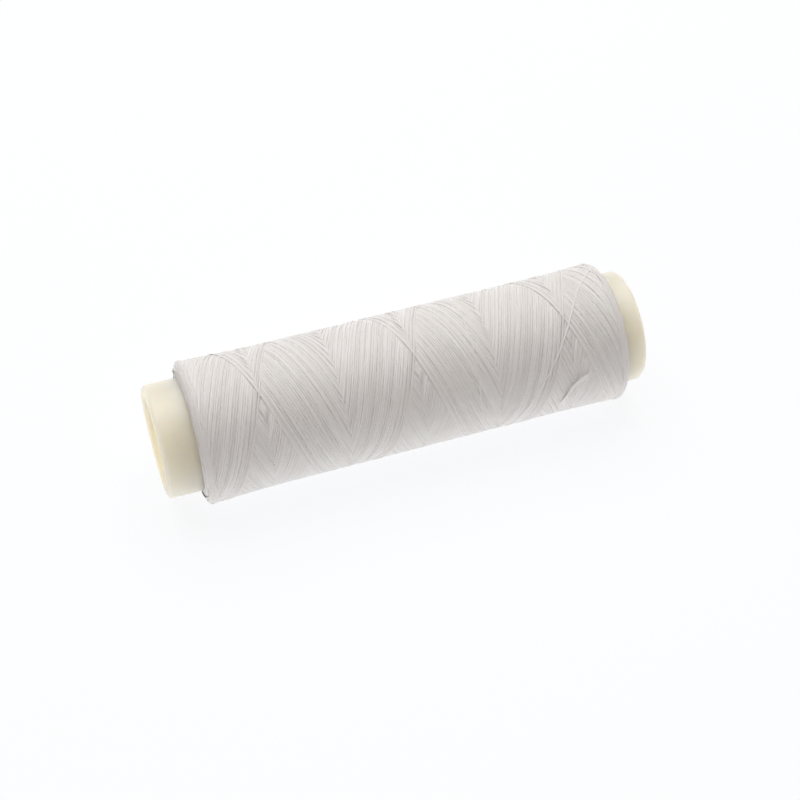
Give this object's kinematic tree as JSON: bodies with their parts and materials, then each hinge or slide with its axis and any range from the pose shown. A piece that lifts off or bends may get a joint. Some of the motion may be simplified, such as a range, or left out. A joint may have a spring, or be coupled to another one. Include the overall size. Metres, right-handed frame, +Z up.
{
  "type": "waxed thread spool",
  "caption": "Spool of waxed leatherworking thread: a plain moulded tube with a cross-wound package of pale thread, lying on its side.",
  "frame": {"origin": "on the table below the middle of the tube, at the bottom centre of the bounding box", "axes": "+X along the spool's axis towards the end with the shorter bare tube, +Z up"},
  "size_m": [0.11, 0.032, 0.0316],
  "materials": {
    "tube": "satin cream polypropylene",
    "thread": "white waxed polyester thread"
  },
  "bodies": {
    "root": {"core_tube": "tube", "inner_winding": "thread", "outer_winding": "thread"}
  },
  "joints": []
}
